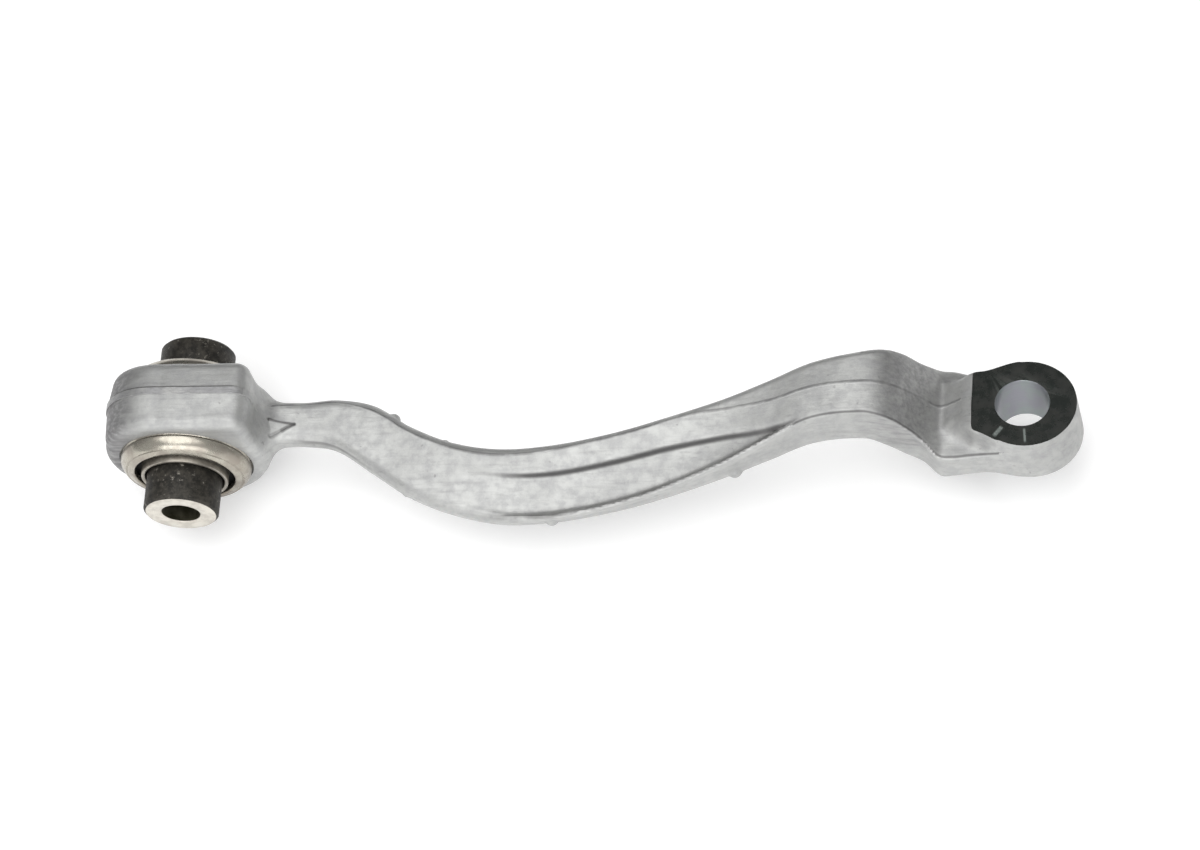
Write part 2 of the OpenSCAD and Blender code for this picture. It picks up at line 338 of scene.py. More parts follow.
def surface_net(field, low, high, step):
    """Vertices and quads of the surface where the field is zero, one vertex to a grid cell."""
    axes = [np.arange(a, b + step, step) for a, b in zip(low, high)]
    shape = [len(a) for a in axes]
    value = np.empty(shape, np.float32)
    # In slabs, to spare memory
    slab = 24
    for start in range(0, shape[0], slab):
        x = axes[0][start:start + slab][:, None, None]
        value[start:start + slab] = field(x, axes[1][None, :, None], axes[2][None, None, :])
    solid = value < 0
    cells = [n - 1 for n in shape]
    total = np.zeros(cells + [3])
    count = np.zeros(cells)
    for axis in range(3):
        others = [a for a in range(3) if a != axis]
        first, second = pairs_along(axis)
        va, vb = value[first], value[second]
        cut = solid[first] != solid[second]
        share = np.where(cut, va / np.where(cut, va - vb, 1), 0)
        for i in (0, 1):
            for j in (0, 1):
                part = [slice(None)] * 3
                part[others[0]] = slice(i, cells[others[0]] + i)
                part[others[1]] = slice(j, cells[others[1]] + j)
                here = cut[tuple(part)]
                count += here
                total[..., axis] += np.where(here, share[tuple(part)], 0)
                total[..., others[0]] += here * i
                total[..., others[1]] += here * j
    live = count > 0
    index = np.full(cells, -1)
    index[live] = np.arange(live.sum())
    corner = np.argwhere(live)
    points = np.array(low) + (corner + total[live] / count[live][:, None]) * step
    quads = []
    for axis in range(3):
        a1, a2 = (axis + 1) % 3, (axis + 2) % 3
        first, second = pairs_along(axis)
        inner, outer = solid[first], solid[second]
        for way, cut in ((0, inner & ~outer), (1, ~inner & outer)):
            at = np.argwhere(cut)
            ring = []
            for d1, d2 in ((0, 0), (-1, 0), (-1, -1), (0, -1)):
                cell = at.copy()
                cell[:, a1] += d1
                cell[:, a2] += d2
                ring.append(index[cell[:, 0], cell[:, 1], cell[:, 2]])
            quad = np.stack(ring, 1)
            quads.append(quad[:, ::-1] if way else quad)
    return points, np.concatenate(quads)


def settle(points, quads, field):
    """Spreads the net's vertices evenly along the surface and sets them exactly on it."""
    rounds, pull, least_slope = 3, 0.6, 0.05
    n = len(points)
    edges = np.concatenate([quads[:, [k, (k + 1) % 4]] for k in range(4)])
    degree = np.bincount(edges.ravel(), minlength=n).astype(float)
    for turn in range(rounds + 1):
        for _ in range(2):
            g = gradient(field, points)
            f = field(*points.T)
            points = points - g * (f / np.maximum((g * g).sum(1), least_slope))[:, None]
        if turn < rounds:
            middle = np.zeros_like(points)
            for axis in range(3):
                middle[:, axis] = (
                    np.bincount(edges[:, 0], points[edges[:, 1], axis], n)
                    + np.bincount(edges[:, 1], points[edges[:, 0], axis], n)) / degree
            g = gradient(field, points)
            g /= np.linalg.norm(g, axis=1)[:, None]
            shift = middle - points
            points = points + pull * (shift - g * (shift * g).sum(1)[:, None])
    return points


# ------------ mesh helpers
def mesh_object(name, points, faces):
    """A mesh object from points in millimetres."""
    mesh = bpy.data.meshes.new(name)
    points = np.asarray(points, float) * MM
    mesh.from_pydata(points.tolist(), [], [list(map(int, f)) for f in faces])
    mesh.update()
    obj = bpy.data.objects.new(name, mesh)
    bpy.context.scene.collection.objects.link(obj)
    return obj


def lathe(name, profile, segments):
    """A ring turned about the Y axis from [radius, y] points, listed counter-clockwise."""
    profile = np.array(profile, float)
    turn = 2 * math.pi * np.arange(segments) / segments
    rings = [
        np.stack([profile[:, 0] * math.cos(a), profile[:, 1], profile[:, 0] * math.sin(a)], 1)
        for a in turn]
    n = len(profile)
    faces = []
    for s in range(segments):
        t = (s + 1) % segments
        for k in range(n):
            m = (k + 1) % n
            faces.append((s * n + k, s * n + m, t * n + m, t * n + k))
    return mesh_object(name, np.concatenate(rings), faces)


def arc_points(cx, cy, r, start, end, steps):
    """Points on an arc from one angle to another, in degrees."""
    return [
        (cx + r * math.cos(math.radians(a)), cy + r * math.sin(math.radians(a)))
        for a in np.linspace(start, end, steps + 1)]


def apply_boolean(target, cutter, operation):
    """Cuts or joins the cutter into the target for good, and removes the cutter."""
    mod = target.modifiers.new("cut", "BOOLEAN")
    mod.object = cutter
    mod.operation = operation
    mod.solver = "MANIFOLD"
    graph = bpy.context.evaluated_depsgraph_get()
    result = bpy.data.meshes.new_from_object(target.evaluated_get(graph))
    target.modifiers.clear()
    old = target.data
    target.data = result
    result.name = target.name
    bpy.data.meshes.remove(old)
    bpy.data.objects.remove(cutter)


def vectors(items, name):
    """A vector that each vertex or face of a mesh has, as rows."""
    values = np.empty(len(items) * 3)
    items.foreach_get(name, values)
    return values.reshape(-1, 3)


def add_attribute(mesh, name, values):
    layer = mesh.attributes.new(name, "FLOAT", "POINT")
    layer.data.foreach_set("value", np.asarray(values, np.float32))


def sharpen(mesh, degrees):
    """Smooth shading, with sharp edges where faces meet at more than this angle."""
    mesh.shade_smooth()
    mesh.set_sharp_from_angle(angle=math.radians(degrees))


# ------------ the forging
def eye_to_part():
    """Carries the eye's frame into the part's."""
    return Matrix.Translation((LINK_LENGTH * MM, 0, 0)) @ Matrix.Rotation(-EYE_TILT, 4, "X")


# How far from its axis a cutter's outline stops, before its middle is drawn together
AXIS_GAP = 0.001


def turned_cutter(name, profile, matrix=None):
    """A solid cutter turned about Y, or about the eye's bore axis if a matrix is given."""
    segments = 160
    solid = lathe(name, profile, segments)
    mesh = bmesh.new()
    mesh.from_mesh(solid.data)
    bmesh.ops.remove_doubles(mesh, verts=mesh.verts[:], dist=10 * AXIS_GAP * MM)
    loose = [edge for edge in mesh.edges if not edge.link_faces]
    bmesh.ops.delete(mesh, geom=loose, context="EDGES")
    mesh.to_mesh(solid.data)
    mesh.free()
    if matrix is not None:
        solid.data.transform(matrix @ Matrix.Rotation(math.radians(90), 4, "X"))
    return solid


def disc_profile(steps):
    """The outline of a solid of revolution from (radius, y) steps, closed along the axis."""
    return [(AXIS_GAP, steps[0][1]), *steps, (AXIS_GAP, steps[-1][1])]


def bore_cutter(name, radius, low, high, chamfer, matrix=None):
    """A cutter for a bore with chamfered mouths, which flares out past both of its ends."""
    past = 2
    mouth = radius + chamfer
    return turned_cutter(name, disc_profile([
        (mouth + past, low - past), (mouth, low), (radius, low + chamfer),
        (radius, high - chamfer), (mouth, high), (mouth + past, high + past)]), matrix)


def mill_cutter():
    """A block over the eye's upper face. Its edge towards the bush is straight, with a bevel."""
    top, far, side, bevel, flare, hair = 16.0, 26.0, 27.0, 0.3, 5.0, 0.001
    outline = [
        (-PAD_REACH - bevel - flare, top), (-PAD_REACH - bevel, EYE_HALF + bevel + hair),
        (-PAD_REACH, EYE_HALF), (far, EYE_HALF), (far, top)]
    n = len(outline)
    points = [(x, s * side, z) for s in (-1, 1) for x, z in outline]
    faces = [tuple(range(n)), tuple(range(2 * n - 1, n - 1, -1))]
    faces += [(k, k + n, (k + 1) % n + n, (k + 1) % n) for k in range(n)]
    block = mesh_object("mill_cutter", points, faces)
    block.data.transform(eye_to_part())
    return block


def flash_band():
    """The trimmed flash round the barrel: a low band with crisp edges."""
    segments = 360
    half, edge, root = FLASH_HALF_WIDTH, 0.12, -3.0
    profile = [
        (root, -half), (FLASH_HEIGHT - edge, -half), (FLASH_HEIGHT, edge - half),
        (FLASH_HEIGHT, half - edge), (FLASH_HEIGHT - edge, half), (root, half)]
    band = lathe("flash_band", profile, segments)
    angle = 2 * math.pi * np.arange(segments) / segments
    points = np.empty((segments, len(profile), 3))
    for k, (height, y) in enumerate(profile):
        near, far = np.full(segments, 20.0), np.full(segments, 45.0)
        for _ in range(30):
            middle = (near + far) / 2
            inside = barrel_outline(middle * np.cos(angle), middle * np.sin(angle)) < height
            near, far = np.where(inside, middle, near), np.where(inside, far, middle)
        points[:, k] = np.stack([
            near * np.cos(angle), np.full(segments, PARTING_Y + y), near * np.sin(angle)], 1)
    band.data.vertices.foreach_set("co", (points * MM).astype(np.float32).ravel())
    band.data.update()
    return band


def surface_height(x, y):
    """How high above Z = 0 the forging's upper surface is at x, y."""
    samples = 1200
    z = np.linspace(0, BARREL_R, samples)
    return z[forging(np.full_like(z, x), np.full_like(z, y), z) < 0].max()


def flash_web(side):
    """The trimmed web in the corner between the barrel and the neck: a flat triangle that
    narrows to a point on the neck, with sloping sides."""
    proud, spread, sink = 0.25, 1.0, 2.5
    cx, cy = np.mean(WEB_CORNERS, axis=0)
    mesh = bmesh.new()
    for x, y in WEB_CORNERS:
        z = surface_height(x, y)
        reach = 1 + spread / math.hypot(x - cx, y - cy)
        mesh.verts.new(Vector((x, y, side * (z + proud))) * MM)
        mesh.verts.new(Vector((
            cx + (x - cx) * reach, cy + (y - cy) * reach, side * (z - sink))) * MM)
    bmesh.ops.convex_hull(mesh, input=mesh.verts[:])
    bmesh.ops.recalc_face_normals(mesh, faces=mesh.faces[:])
    web = mesh_object("flash_web", [], [])
    mesh.to_mesh(web.data)
    mesh.free()
    return web


def make_forging():
    """The forged link, with its trimmed flash, bored and milled."""
    low = (-BARREL_R - 2, -41.0, -BARREL_R - 2)
    high = (LINK_LENGTH + 21, 22.0, BARREL_R + 2)
    points, quads = surface_net(forging, low, high, GRID)
    points = settle(points, quads, forging)
    link = mesh_object("forged_link", points, quads)
    apply_boolean(link, flash_band(), "UNION")
    for side in (1, -1):
        apply_boolean(link, flash_web(side), "UNION")
    spot_face = disc_profile([(SPOT_FACE_R, -EYE_HALF - 9), (SPOT_FACE_R, -EYE_HALF)])
    for cutter in (
            bore_cutter(
                "housing_cutter", HOUSING_BORE_R, BARREL_FRONT, BARREL_REAR, HOUSING_CHAMFER),
            mill_cutter(),
            turned_cutter("spot_face_cutter", spot_face, eye_to_part()),
            bore_cutter(
                "eye_bore_cutter", EYE_BORE_R, -EYE_HALF, EYE_HALF, EYE_CHAMFER, eye_to_part())):
        apply_boolean(link, cutter, "DIFFERENCE")
    return link


# ------------ the forging's marks
def forging_marks(mesh):
    """Attributes that the forging's material reads: how far in millimetres a point lies from
    the parting line, the crest's lower edge, the neck's lower line, the pocket's upper wall and
    the sill under the pocket, how deep the pocket is, and how hollow or proud the surface is."""
    p = vectors(mesh.vertices, "co") / MM
    x, y, z = p.T
    v, w = section_point(x, y, z)
    _, _, height, depth, _, _, recess, high, _ = smooth_table(STATIONS, x)
    from_edge = v + height / 2
    parting = v - smooth_table(PARTING, x)[0]
    crest = from_edge - (depth / 2 - np.abs(w))
    rib_at, sill_at, wall_share, parting_depth = 0.4, 1.7, 0.35, 3.5
    hidden, fade = 40.0, 8
    for name, value, start, end, off in (
            ("parting", parting, 32, 284, np.abs(w) < depth / 2 - parting_depth),
            ("crest", crest, 226, 298, w < 0), ("rib", from_edge - rib_at, 34, 82, w < 0)):
        off = off + np.clip((start - x) / fade, 0, 1) + np.clip((x - end) / fade, 0, 1)
        add_attribute(mesh, name, value + hidden * off * np.where(value < 0, -1, 1))
    add_attribute(mesh, "pocket", v - high + wall_share * recess)
    add_attribute(mesh, "sill", from_edge - sill_at)
    middle, deeper = 160, 1.8
    shallow = np.where(x < middle, 1.0, 0.2)
    add_attribute(mesh, "recess", np.clip((recess - shallow) / deeper, 0, 1) * (w > 0))
    normal = gradient(forging, p)
    normal /= np.maximum(np.linalg.norm(normal, axis=1), 1e-6)[:, None]
    reach = 2.2
    ahead = forging(*(p + normal * reach).T)
    behind = forging(*(p - normal * reach).T)
    here = forging(*p.T)
    add_attribute(mesh, "hollow", np.clip(1 - (ahead - here) / reach, 0, 1))
    add_attribute(mesh, "proud", np.clip(1 + (behind - here) / reach, 0, 1))


FORGED, MILLED, BORED, SHEARED = range(4)


def forging_faces(mesh):
    """Gives each face its finish: forged skin, milled face, bored wall or sheared flash."""
    x, y, z = vectors(mesh.polygons, "center").T / MM
    _, ny, nz = vectors(mesh.polygons, "normal").T
    ex, ey, ez = eye_point(x, y, z)
    up = ny * math.sin(EYE_TILT) + nz * math.cos(EYE_TILT)
    slack, upright, eye_reach, band_end = 0.01, 0.9, 34, 27
    flat_slack, bevel_slack, bevel_middle, bevel_half = 0.06, 0.03, 0.7, 0.75
    finish = np.full(len(x), FORGED)
    near_eye = np.hypot(ex, ey) < eye_reach
    flat = (np.abs(np.abs(ez) - EYE_HALF) < flat_slack) & (np.abs(up) > upright)
    bevel = (np.abs(up - math.cos(math.radians(45))) < bevel_slack) & (ez > EYE_HALF)
    finish[near_eye & flat & ((ez < 0) | (ex > -PAD_REACH - 0.05))] = MILLED
    finish[near_eye & bevel & (np.abs(ex + PAD_REACH + bevel_middle) < bevel_half)] = MILLED
    wall = np.hypot(ex, ey) < EYE_BORE_R + EYE_CHAMFER + slack
    finish[wall & (np.abs(ez) < EYE_HALF) & (np.abs(up) < upright)] = BORED
    wall = np.hypot(x, z) < HOUSING_BORE_R + HOUSING_CHAMFER + slack
    finish[wall & (y > BARREL_FRONT) & (y < BARREL_REAR)] = BORED
    band = np.abs(y - PARTING_Y) < FLASH_HALF_WIDTH + slack
    finish[band & (barrel_outline(x, z) > FLASH_HEIGHT / 2) & (x < band_end)] = SHEARED
    mesh.polygons.foreach_set("material_index", finish.astype(np.int32))


# ------------ material building
class Graph:
    """A material's nodes, with short ways to add and join them. Lengths are in millimetres."""

    def __init__(self, name):
        self.material = bpy.data.materials.new(name)
        self.material.use_nodes = True
        self.tree = self.material.node_tree
        self.shader = self.tree.nodes["Principled BSDF"]
        self.place = self.node("ShaderNodeTexCoord").outputs["Object"]

    def node(self, kind, inputs=(), **settings):
        node = self.tree.nodes.new(kind)
        for key, value in settings.items():
            setattr(node, key, value)
        for key, value in dict(inputs).items():
            self.put(node.inputs[key], value)
        return node

    def put(self, socket, value):
        if isinstance(value, bpy.types.NodeSocket):
            self.tree.links.new(value, socket)
        else:
            socket.default_value = value

    def set(self, **values):
        for key, value in values.items():
            self.put(self.shader.inputs[key.replace("_", " ")], value)
        return self.material

    def math(self, operation, a, b=0.0):
        return self.node("ShaderNodeMath", {0: a, 1: b}, operation=operation).outputs[0]

    def times(self, a, b):
        return self.math("MULTIPLY", a, b)

    def vector(self, operation, inputs, output=0):
        return self.node("ShaderNodeVectorMath", inputs, operation=operation).outputs[output]

    def parts(self, vector):
        return self.node("ShaderNodeSeparateXYZ", {0: vector}).outputs

    def join(self, x, y, z):
        return self.node("ShaderNodeCombineXYZ", {0: x, 1: y, 2: z}).outputs[0]

    def polar(self, x, y):
        """The radius and the angle of a place in a plane."""
        squares = [self.math("POWER", c, 2) for c in (x, y)]
        return self.math("SQRT", self.math("ADD", *squares)), self.math("ARCTAN2", y, x)

    def noise_at(self, vector, detail, rough):
        return self.node("ShaderNodeTexNoise", {
            "Vector": vector, "Scale": 1.0, "Detail": detail, "Roughness": rough}).outputs["Fac"]

    def noise(self, size, detail, rough, stretch=(1, 1, 1), shift=0.0):
        """Noise whose features are about this many millimetres across, from 0 to 1."""
        return self.noise_at(self.node("ShaderNodeMapping", {
            "Vector": self.place, "Location": (shift, shift * 0.7, shift * 1.3),
            "Scale": [1 / (size * MM * s) for s in stretch]}).outputs[0], detail, rough)

    def turned_lines(self, ring, along):
        """Fine lines round the Y axis, this many millimetres wide, which fade in and out
        round the turn."""
        x, y, z = self.parts(self.place)
        radius, angle = self.polar(x, z)
        return self.noise_at(self.join(
            self.times(radius, 1 / (ring * MM)), self.times(y, 1 / (ring * MM)),
            self.times(self.math("SINE", angle), along)), 3, 0.6)

    def spread(self, value, low, high, to_low=0.0, to_high=1.0):
        """The value carried from one range to another, smoothly and without overshoot."""
        return self.node("ShaderNodeMapRange", {
            "Value": value, "From Min": low, "From Max": high, "To Min": to_low,
            "To Max": to_high}, interpolation_type="SMOOTHSTEP").outputs[0]

    def between(self, value, start, full, fade, end):
        """1 from full to fade and 0 beyond start and end, all in millimetres."""
        rise = self.spread(value, start * MM, full * MM)
        return self.times(rise, self.spread(value, fade * MM, end * MM, 1, 0))

    def mix(self, share, a, b):
        node = self.node("ShaderNodeMix", data_type="RGBA")
        self.put(node.inputs[0], share)
        for socket, colour in ((node.inputs[6], a), (node.inputs[7], b)):
            self.put(socket, colour if isinstance(colour, bpy.types.NodeSocket) else (*colour, 1))
        return node.outputs[2]

    def stain(self, colour, mask, strength, tone):
        """The colour with another laid over it where the mask is 1."""
        return self.mix(self.times(mask, strength), colour, tone)

    def attribute(self, name):
        return self.node("ShaderNodeAttribute", attribute_name=name).outputs["Fac"]

    def line_mask(self, name, inner, outer):
        """1 along the line where an attribute is 0, fading between two distances from it."""
        return self.spread(self.math("ABSOLUTE", self.attribute(name)), inner, outer, 1, 0)

    def bump(self, height, depth, normal=None):
        """Relief this many millimetres deep where height goes from 0 to 1."""
        node = self.node("ShaderNodeBump", {
            "Height": height, "Distance": depth * MM, "Strength": 1.0})
        if normal is not None:
            self.put(node.inputs["Normal"], normal)
        return node.outputs[0]

    def from_segment(self, x, y, start, end):
        """Distance in the XY plane from the segment between two points in millimetres."""
        start = Vector((*start, 0)) * MM
        run = Vector((*end, 0)) * MM - start
        reach = self.vector("SUBTRACT", {0: self.join(x, y, 0.0), 1: start})
        share = self.vector("DOT_PRODUCT", {0: reach, 1: run / run.length_squared}, "Value")
        share = self.math("MINIMUM", self.math("MAXIMUM", share, 0.0), 1.0)
        along = self.vector("SCALE", {0: run, 3: share})
        return self.vector("LENGTH", {0: self.vector("SUBTRACT", {0: reach, 1: along})}, "Value")


def forged_material():
    """Shot-blasted aluminium forging: matte, faintly mottled and streaked along the arm."""
    g = Graph("forged_alloy")
    broad = g.noise(22, 5, 0.6)
    mottle = g.noise(4.5, 6, 0.65, shift=3)
    streak = g.noise(1.5, 4, 0.6, stretch=(14, 1, 1), shift=5)
    grain = g.noise(0.5, 3, 0.7, shift=9)
    colour = g.mix(g.spread(broad, 0.35, 0.65), (0.385, 0.388, 0.380), (0.448, 0.452, 0.442))
    colour = g.mix(g.spread(mottle, 0.42, 0.62, 0, 0.42), colour, (0.320, 0.320, 0.330))
    colour = g.mix(g.spread(streak, 0.50, 0.72, 0, 0.45), colour, (0.269, 0.269, 0.269))
    colour = g.mix(g.spread(grain, 0.35, 0.75, 0, 0.30), colour, (0.474, 0.474, 0.461))
    # Darker in the hollows: soot, and painted shade where the hollows lie in shadow
    hollow = g.attribute("hollow")
    soot_and_hollow_shade = g.times(g.spread(hollow, 0.10, 0.62), g.spread(mottle, 0.25, 0.6, 0.55, 1.0))
    colour = g.stain(colour, soot_and_hollow_shade, 0.85, (0.109, 0.106, 0.106))
    spot = g.noise(2.6, 3, 0.5, shift=21)
    spot = g.times(g.spread(spot, 0.68, 0.75), g.spread(broad, 0.4, 0.6))
    colour = g.stain(colour, spot, 0.55, (0.160, 0.157, 0.154))
    patchy = g.spread(g.noise(9, 3, 0.6, shift=31), 0.35, 0.6, 0.25, 1.0)
    line = g.times(g.line_mask("parting", 0.15, 0.75), patchy)
    colour = g.stain(colour, line, 0.6, (0.110, 0.108, 0.110))
    # Painted shade: a dark line along the crest's lower edge, where it falls in shadow
    colour = g.stain(colour, g.line_mask("crest", 0.15, 1.1), 0.8, (0.085, 0.083, 0.083))
    recess = g.attribute("recess")
    # Painted shade along the pocket's upper wall, which faces away from the light
    wall = g.times(g.line_mask("pocket", 0.15, 1.35), recess)
    colour = g.stain(colour, wall, 0.85, (0.075, 0.073, 0.074))
    # Painted shade: a dark band along the foot of the pocket's lower wall
    sill = g.times(g.line_mask("sill", 0.3, 1.5), g.times(recess, patchy))
    colour = g.stain(colour, sill, 0.8, (0.090, 0.088, 0.086))
    x, y, z = g.parts(g.place)
    # Painted shade: a thin dark line along the neck's lower corner
    rib = g.times(g.line_mask("rib", 0.1, 0.45), g.between(x, 36, 48, 56, 78))
    colour = g.stain(colour, rib, 0.55, (0.120, 0.118, 0.118))
    # Painted shade on the slope down to the eye, which faces away from the light, and darker
    # streaks towards the barrel's -X side
    slope = g.times(g.between(x, 244, 262, 268, 282), g.spread(z, 0.0, 6 * MM))
    left = g.spread(x, -25 * MM, -8 * MM, 1, 0)
    slope_shade_and_dark_left = g.math("ADD", g.times(slope, 0.5), left)
    slope_shade_and_dark_left = g.times(slope_shade_and_dark_left, g.spread(streak, 0.30, 0.60, 0.45, 1.0))
    colour = g.stain(colour, slope_shade_and_dark_left, 0.88, (0.140, 0.136, 0.140))
    # Painted shade: a thin dark line in the crease along the flash band's +Y edge
    above_flash = (PARTING_Y + FLASH_HALF_WIDTH + 0.3) * MM
    flash_crease_shade = g.math("ABSOLUTE", g.math("SUBTRACT", y, above_flash))
    flash_crease_shade = g.times(g.spread(flash_crease_shade, 0.1 * MM, 0.6 * MM, 1, 0), g.spread(x, 22 * MM, 26 * MM, 1, 0))
    colour = g.stain(colour, flash_crease_shade, 0.75, (0.085, 0.083, 0.083))
    tip, upper, lower = WEB_CORNERS
    half_way = [(a + b) / 2 for a, b in zip(tip, lower)]
    # Painted shade: dark lines along the trimmed web's edges, standing for shaded grooves
    for end, strength in ((upper, 0.85), (half_way, 0.55), (lower, 0.45)):
        mark = g.spread(g.from_segment(x, y, tip, end), 0.25 * MM, 1.0 * MM, 1, 0)
        colour = g.stain(colour, mark, strength, (0.075, 0.073, 0.073))
    proud = g.spread(g.attribute("proud"), 0.30, 0.8)
    colour = g.stain(colour, proud, 0.35, (0.499, 0.499, 0.490))
    dents = g.noise(6, 3, 0.5, shift=13)
    normal = g.bump(dents, 0.22)
    normal = g.bump(streak, 0.08, normal)
    normal = g.bump(grain, 0.06, normal)
    normal = g.bump(g.line_mask("parting", 0.1, 0.9), 0.12, normal)
    return g.set(
        Base_Color=colour, Metallic=0.72, Roughness=g.spread(mottle, 0.3, 0.7, 0.46, 0.60),
        Normal=normal)


def eye_place(g):
    """The plain eye's frame, in metres: its bore is the third axis."""
    return g.node("ShaderNodeMapping", {
        "Vector": g.place, "Location": (LINK_LENGTH * MM, 0, 0),
        "Rotation": (-EYE_TILT, 0, 0)}, vector_type="TEXTURE").outputs[0]


def milled_material():
    """Face-milled alloy, painted near-black as a dark reflection, with the cutter's fine rings
    and two painted radial highlights.
    """
    g = Graph("milled_face")
    x, y, _ = g.parts(eye_place(g))
    radius, angle = g.polar(x, y)
    rings = g.noise_at(g.join(
        g.times(radius, 1 / (0.28 * MM)), g.times(g.math("SINE", angle), 1.5), 0.0), 4, 0.6)
    cloud = g.noise(5, 4, 0.6, shift=2)
    colour = g.mix(g.spread(cloud, 0.35, 0.65), (0.040, 0.046, 0.042), (0.058, 0.060, 0.056))
    colour = g.mix(g.spread(rings, 0.45, 0.75, 0, 0.22), colour, (0.080, 0.083, 0.079))
    # Two painted radial highlights spreading out from the bore, standing for light caught by the
    # cutter's rings
    for centre, width, near, far in ((-2.18, 0.8, 11.8, 17.5), (-1.49, 0.45, 10.6, 17.2)):
        off = g.times(g.math("ABSOLUTE", g.math("SUBTRACT", angle, centre)), radius)
        mark = g.spread(off, width * 0.4 * MM, width * 1.3 * MM, 1, 0)
        mark = g.times(mark, g.between(radius, near, near + 1, far - 1.5, far))
        colour = g.stain(colour, mark, 0.55, (0.50, 0.56, 0.53))
    return g.set(
        Base_Color=colour, Metallic=0.85, Roughness=g.spread(cloud, 0.3, 0.7, 0.24, 0.32),
        Normal=g.bump(rings, 0.004))


def bored_material():
    """Reamed bore wall: satin, faintly tinted, with fine rings round it."""
    g = Graph("bored_wall")
    _, _, z = g.parts(eye_place(g))
    rings = g.noise_at(g.join(g.times(z, 1 / (0.4 * MM)), 0.0, 0.0), 3, 0.6)
    tint = g.noise(5, 3, 0.5, shift=4)
    colour = g.mix(g.spread(tint, 0.35, 0.65), (0.300, 0.302, 0.335), (0.300, 0.330, 0.330))
    colour = g.mix(g.spread(rings, 0.45, 0.75, 0, 0.35), colour, (0.210, 0.215, 0.230))
    return g.set(Base_Color=colour, Metallic=0.85, Roughness=0.30, Normal=g.bump(rings, 0.02))


def sheared_material():
    """Trimmed flash: sheared across, with fine marks along the cut."""
    g = Graph("sheared_flash")
    torn = g.noise(0.7, 4, 0.7, stretch=(3, 1, 3))
    blotch = g.noise(7, 4, 0.6, shift=6)
    colour = g.mix(g.spread(blotch, 0.35, 0.65), (0.288, 0.288, 0.292), (0.389, 0.389, 0.382))
    colour = g.mix(g.spread(torn, 0.45, 0.75, 0, 0.5), colour, (0.173, 0.173, 0.173))
    return g.set(
        Base_Color=colour, Metallic=0.75, Roughness=g.spread(torn, 0.3, 0.7, 0.40, 0.58),
        Normal=g.bump(torn, 0.06))


def outer_steel_material():
    """Rolled steel sleeve: creamy satin plate with lathe lines, tarnished in patches."""
    g = Graph("outer_steel")
    lines = g.turned_lines(0.35, 2.0)
    patch = g.noise(6, 4, 0.65, shift=7)
    speck = g.noise(1.1, 3, 0.6, shift=17)
    colour = g.mix(g.spread(patch, 0.35, 0.68), (0.430, 0.408, 0.350), (0.330, 0.298, 0.258))
    colour = g.mix(g.spread(lines, 0.5, 0.75, 0, 0.40), colour, (0.266, 0.244, 0.200))
    _, _, z = g.parts(g.place)
    tarnish = g.times(g.spread(z, -14 * MM, 16 * MM, 1, 0), g.spread(patch, 0.25, 0.6, 0.5, 1.0))
    colour = g.stain(colour, tarnish, 0.75, (0.215, 0.190, 0.160))
    colour = g.mix(g.spread(speck, 0.66, 0.76, 0, 0.5), colour, (0.163, 0.141, 0.111))
    normal = g.bump(g.noise(3, 3, 0.5, shift=19), 0.05)
    normal = g.bump(lines, 0.02, normal)
    return g.set(
        Base_Color=colour, Metallic=0.92, Roughness=g.spread(patch, 0.3, 0.7, 0.20, 0.38),
        Normal=normal)


def middle_steel_material():
    """Thin drawn sleeve: dull steel, tarnished in patches, with lathe lines."""
    g = Graph("middle_steel")
    lines = g.turned_lines(0.4, 2.0)
    patch = g.noise(3, 4, 0.6, shift=8)
    colour = g.mix(g.spread(patch, 0.35, 0.65), (0.375, 0.352, 0.307), (0.270, 0.247, 0.214))
    colour = g.mix(g.spread(lines, 0.5, 0.75, 0, 0.4), colour, (0.150, 0.135, 0.112))
    return g.set(Base_Color=colour, Metallic=0.85, Roughness=0.38, Normal=g.bump(lines, 0.02))


def coated_material():
    """Inner sleeve: dark bonding coat, mottled brown and grey, with light scuffs and specks."""
    g = Graph("coated_steel")
    mottle = g.noise(3.2, 6, 0.7, shift=1)
    fine = g.noise(0.9, 4, 0.7, shift=11)
    colour = g.mix(g.spread(mottle, 0.38, 0.66), (0.010, 0.009, 0.007), (0.042, 0.038, 0.031))
    colour = g.mix(g.spread(fine, 0.55, 0.78, 0, 0.6), colour, (0.112, 0.102, 0.089))
    scuff = g.times(
        g.spread(g.noise(1.6, 5, 0.7, shift=23), 0.56, 0.68),
        g.spread(g.noise(7, 2, 0.5, shift=29), 0.48, 0.62))
    colour = g.stain(colour, scuff, 0.8, (0.300, 0.280, 0.245))
    normal = g.bump(mottle, 0.07)
    normal = g.bump(fine, 0.04, normal)
    return g.set(
        Base_Color=colour, Metallic=0.15, Roughness=g.spread(fine, 0.3, 0.7, 0.48, 0.68),
        Specular_IOR_Level=0.3, Normal=normal)


def faced_material():
    """Inner sleeve's machined end faces: bright, with turning rings."""
    g = Graph("faced_steel")
    rings = g.turned_lines(0.22, 1.0)
    patch = g.noise(3.5, 4, 0.6, shift=14)
    colour = g.mix(g.spread(patch, 0.35, 0.65), (0.640, 0.612, 0.550), (0.500, 0.470, 0.420))
    colour = g.mix(g.spread(rings, 0.48, 0.75, 0, 0.4), colour, (0.360, 0.330, 0.290))
    return g.set(Base_Color=colour, Metallic=0.85, Roughness=0.40, Normal=g.bump(rings, 0.02))


